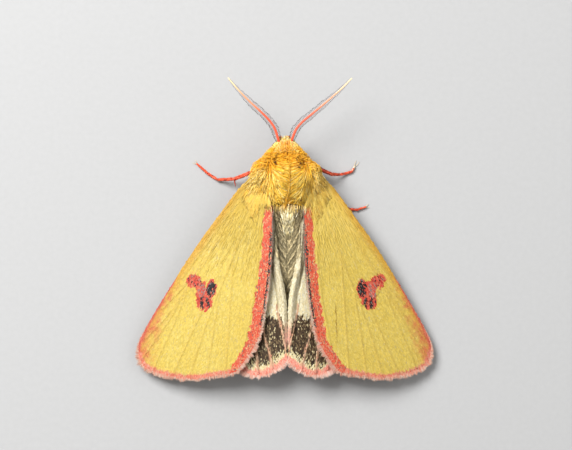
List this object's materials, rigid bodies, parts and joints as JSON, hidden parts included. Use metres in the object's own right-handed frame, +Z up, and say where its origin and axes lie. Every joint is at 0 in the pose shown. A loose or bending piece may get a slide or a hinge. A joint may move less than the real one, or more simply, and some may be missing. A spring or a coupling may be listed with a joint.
{
  "type": "clouded buff moth",
  "caption": "Life-size still model of a male clouded buff moth at rest: wings laid back over the body, combed feelers spread forward.",
  "frame": {"origin": "on the floor, below the middle of the moth's box", "axes": "+Z up from the floor, +Y towards the head, +X to the moth's right, which is the image's right from above"},
  "size_m": [0.0298, 0.0301, 0.0061],
  "materials": {
    "forewing_scales": "matt scales over a thin membrane",
    "hindwing_scales": "matt scales over a thin membrane",
    "thorax_coat": "silky hair",
    "abdomen_coat": "silky hair",
    "leg_cuticle": "short scales over smooth cuticle",
    "feeler_cuticle": "short scales over smooth cuticle",
    "eye_lens": "glossy compound eye"
  },
  "bodies": {
    "root": {"head": "thorax_coat", "eye_left": "eye_lens", "eye_right": "eye_lens", "antenna_left": "feeler_cuticle", "antenna_right": "feeler_cuticle", "palp_left": "feeler_cuticle", "palp_right": "feeler_cuticle", "thorax": "thorax_coat", "tegula_left": "thorax_coat", "tegula_right": "thorax_coat", "abdomen": "abdomen_coat", "forewing_left": "forewing_scales", "forewing_right": "forewing_scales", "hindwing_left": "hindwing_scales", "hindwing_right": "hindwing_scales", "foreleg_left": "leg_cuticle", "foreleg_right": "leg_cuticle", "midleg_left": "leg_cuticle", "midleg_right": "leg_cuticle", "hindleg_left": "leg_cuticle", "hindleg_right": "leg_cuticle"}
  },
  "joints": []
}
